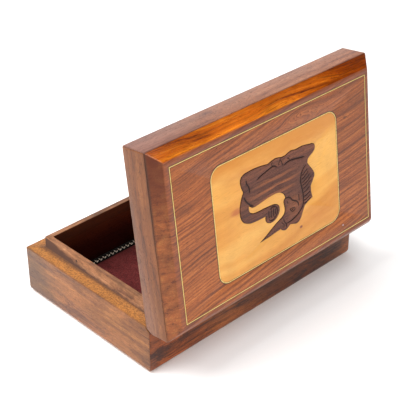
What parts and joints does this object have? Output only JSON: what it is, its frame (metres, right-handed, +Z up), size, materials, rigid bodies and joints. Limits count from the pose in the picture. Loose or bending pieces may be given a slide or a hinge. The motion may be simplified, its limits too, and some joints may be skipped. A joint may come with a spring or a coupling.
{
  "type": "inlaid wooden trinket box",
  "caption": "Low rectangular hardwood box with a lipped base, a hinged bevelled lid inlaid with brass lines and a carved horned horse, and a velvet lining.",
  "frame": {"origin": "centre of the base's flat underside, on the surface the box stands on", "axes": "+X along the long side, +Y to the rear where the hinges are, +Z up; the lid stands open at its stop"},
  "size_m": [0.203, 0.1556, 0.1662],
  "materials": {
    "rosewood": "oiled and wax polished, streaked grain",
    "light_wood": "polished warm yellow wood",
    "dark_wood": "carved dark wood, satin",
    "bottom_wood": "plain unpolished board",
    "brass": "worn polish",
    "card": "plain lining card",
    "velvet": "burgundy velvet",
    "braid": "black and cream woven braid"
  },
  "bodies": {
    "base": {"base_bottom_panel": "bottom_wood", "base_braid_front": "braid", "base_braid_left": "braid", "base_braid_rear": "braid", "base_braid_right": "braid", "base_card": "card", "base_front_wall": "rosewood", "base_left_wall": "rosewood", "base_rear_wall": "rosewood", "base_right_wall": "rosewood", "base_velvet": "velvet", "left_hinge_base_leaf": "brass", "left_hinge_base_screw_1": "brass", "left_hinge_base_screw_2": "brass", "left_hinge_pin": "brass", "right_hinge_base_leaf": "brass", "right_hinge_base_screw_1": "brass", "right_hinge_base_screw_2": "brass", "right_hinge_pin": "brass"},
    "lid": {"brass_line_front": "brass", "brass_line_left": "brass", "brass_line_rear": "brass", "brass_line_right": "brass", "horned_horse_inlay": "dark_wood", "left_hinge_lid_leaf": "brass", "left_hinge_lid_screw_1": "brass", "left_hinge_lid_screw_2": "brass", "lid_braid_front": "braid", "lid_braid_left": "braid", "lid_braid_rear": "braid", "lid_braid_right": "braid", "lid_card": "card", "lid_front_rail": "rosewood", "lid_left_rail": "rosewood", "lid_rear_rail": "rosewood", "lid_right_rail": "rosewood", "lid_top_board": "rosewood", "lid_velvet": "velvet", "light_wood_panel": "light_wood", "panel_brass_border": "brass", "right_hinge_lid_leaf": "brass", "right_hinge_lid_screw_1": "brass", "right_hinge_lid_screw_2": "brass"}
  },
  "joints": [
    {"name": "lid_hinge", "type": "hinge", "parent": "base", "child": "lid", "pos_m": [0, 0.06255, 0.0364], "axis": [1, 0, 0], "range_deg": [0, 82.6]}
  ]
}
